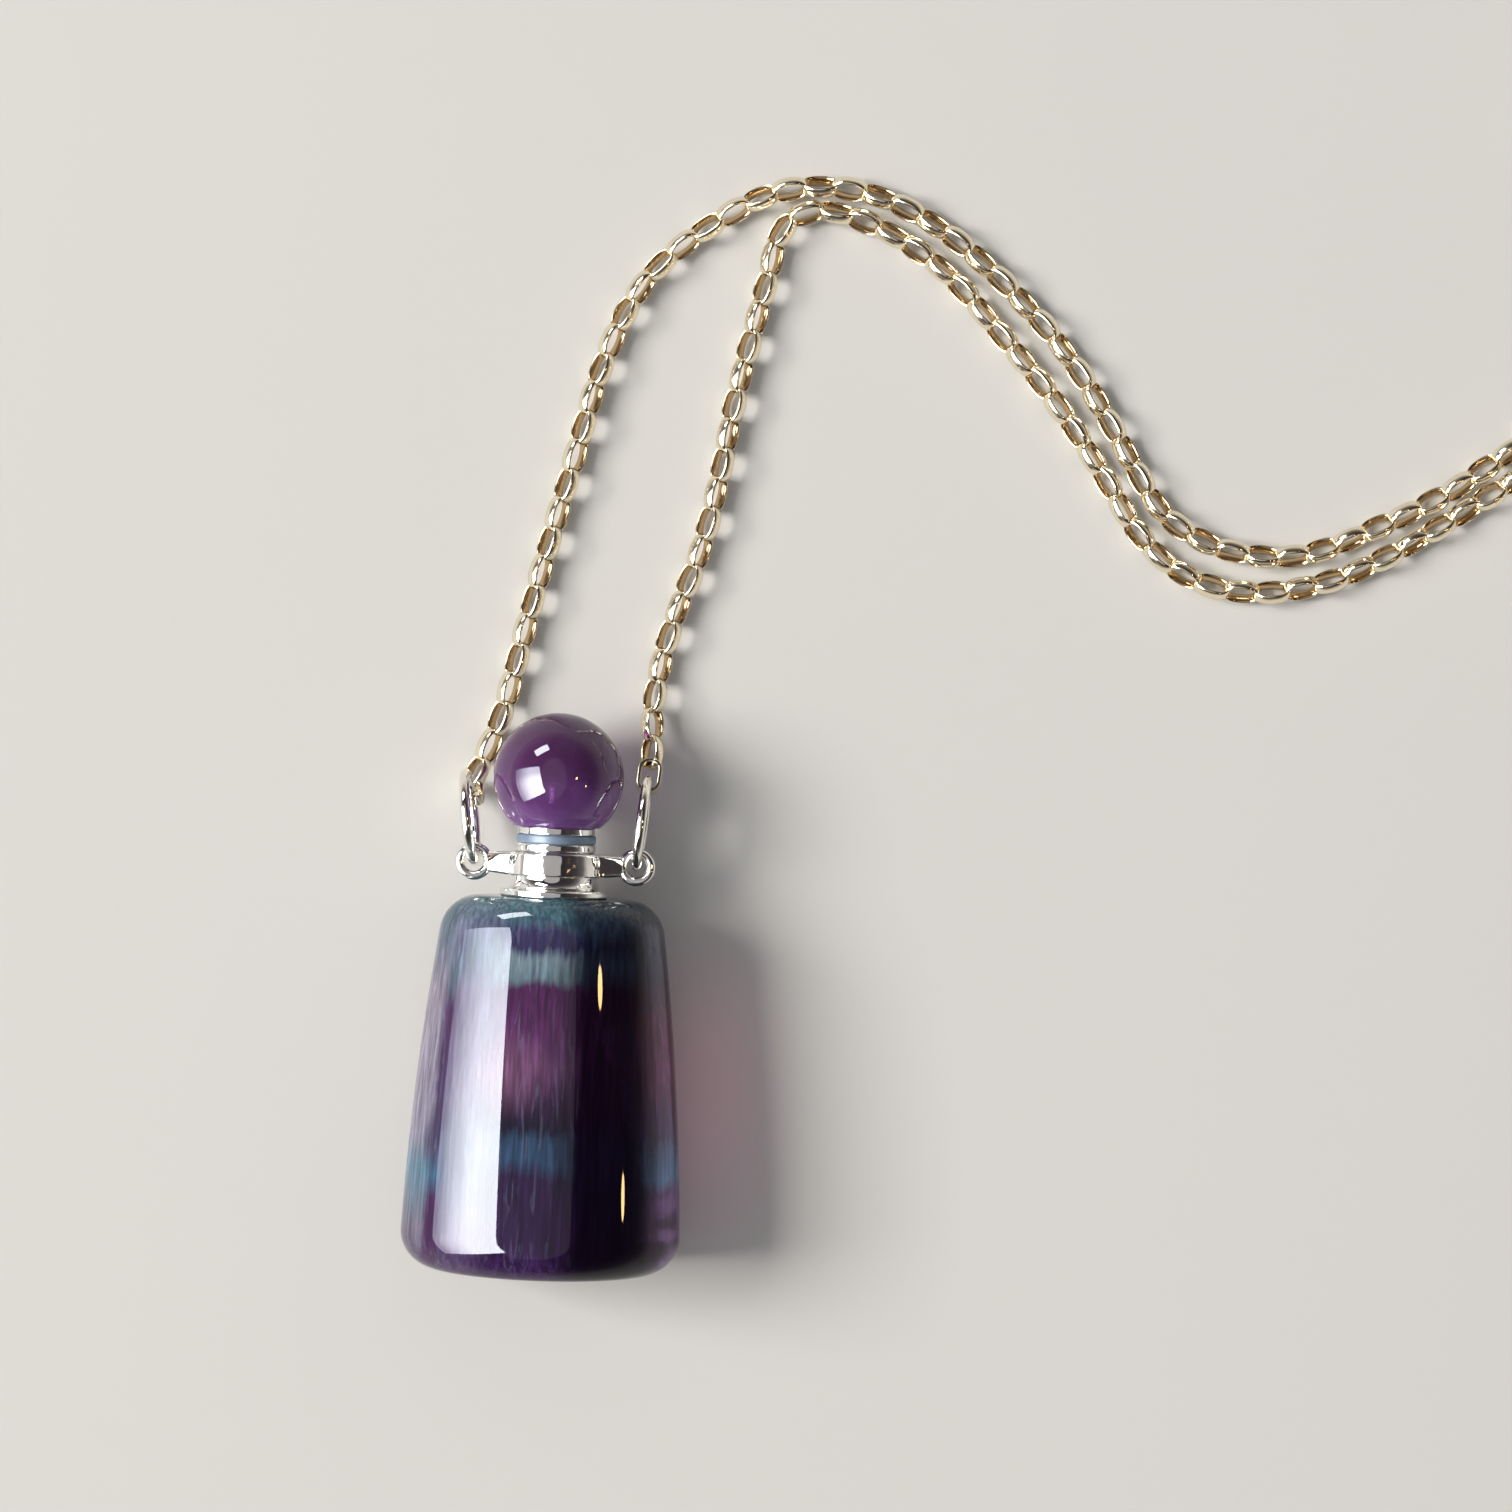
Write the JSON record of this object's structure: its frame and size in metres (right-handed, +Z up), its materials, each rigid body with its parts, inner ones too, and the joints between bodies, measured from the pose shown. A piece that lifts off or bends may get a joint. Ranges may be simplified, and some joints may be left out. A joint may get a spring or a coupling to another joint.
{
  "type": "pendant necklace",
  "caption": "Cable-chain necklace with a small flattened crystal bottle pendant, closed by a screw stopper under a round bead.",
  "frame": {"origin": "on the table under the middle of the pendant (bottle, fittings, bead and jump rings, without the chain)", "axes": "+Y along the pendant's axis from the bottle's base to the bead, +Z up from the table through the bottle's thin direction, +X to the pendant's right"},
  "size_m": [0.1141, 0.1062, 0.0135],
  "materials": {
    "crystal": "polished, banded purple and teal",
    "bead": "polished, translucent violet",
    "silver": "mirror-polished silver plate",
    "ring_silver": "polished silver wire",
    "chain_silver": "polished silver with a warm cast",
    "clasp_silver": "polished silver plate",
    "seal": "smooth blue-grey silicone"
  },
  "bodies": {
    "root": {"crystal_bottle": "crystal", "neck_sleeve": "silver", "yoke_collar": "silver", "left_chain_upper": "chain_silver", "right_chain_upper": "chain_silver", "left_chain_run": "chain_silver", "right_chain_run": "chain_silver", "left_chain_coil": "chain_silver", "right_chain_coil": "chain_silver", "left_last_link": "chain_silver", "right_last_link": "chain_silver", "clasp_ring": "ring_silver", "clasp_body": "clasp_silver", "clasp_spring": "clasp_silver", "end_ring": "ring_silver"},
    "gasket": {"gasket": "seal"},
    "stopper": {"stopper_cap": "silver", "ball_pin": "silver", "stopper_ball": "bead"},
    "left_ring": {"left_jump_ring": "ring_silver", "left_end_link": "chain_silver"},
    "right_ring": {"right_jump_ring": "ring_silver", "right_end_link": "chain_silver"},
    "bolt": {"clasp_bolt": "clasp_silver"}
  },
  "joints": [
    {"name": "stopper_lift", "type": "slide", "parent": "root", "child": "gasket", "axis": [0, 1, 0], "range_m": [0, 0.012]},
    {"name": "stopper_turn", "type": "hinge", "parent": "gasket", "child": "stopper", "pos_m": [0, 0.00971, 0.0063], "axis": [0, 1, 0], "range_deg": [0, 1080]},
    {"name": "left_ring_swing", "type": "hinge", "parent": "root", "child": "left_ring", "pos_m": [-0.00622, 0.00971, 0.0063], "axis": [0, 0, 1], "range_deg": [-8, 25], "deforming": ["left_chain_upper"]},
    {"name": "right_ring_swing", "type": "hinge", "parent": "root", "child": "right_ring", "pos_m": [0.00622, 0.00971, 0.0063], "axis": [0, 0, 1], "range_deg": [-25, 8], "deforming": ["right_chain_upper"]},
    {"name": "clasp_slide", "type": "hinge", "parent": "root", "child": "bolt", "pos_m": [0.08857, 0.07163, 0.0008], "axis": [0, 0, 1], "range_deg": [0, 62], "stiffness_Nm_per_rad": 0.00002, "springref_deg": -20.05, "deforming": ["clasp_spring"]}
  ]
}
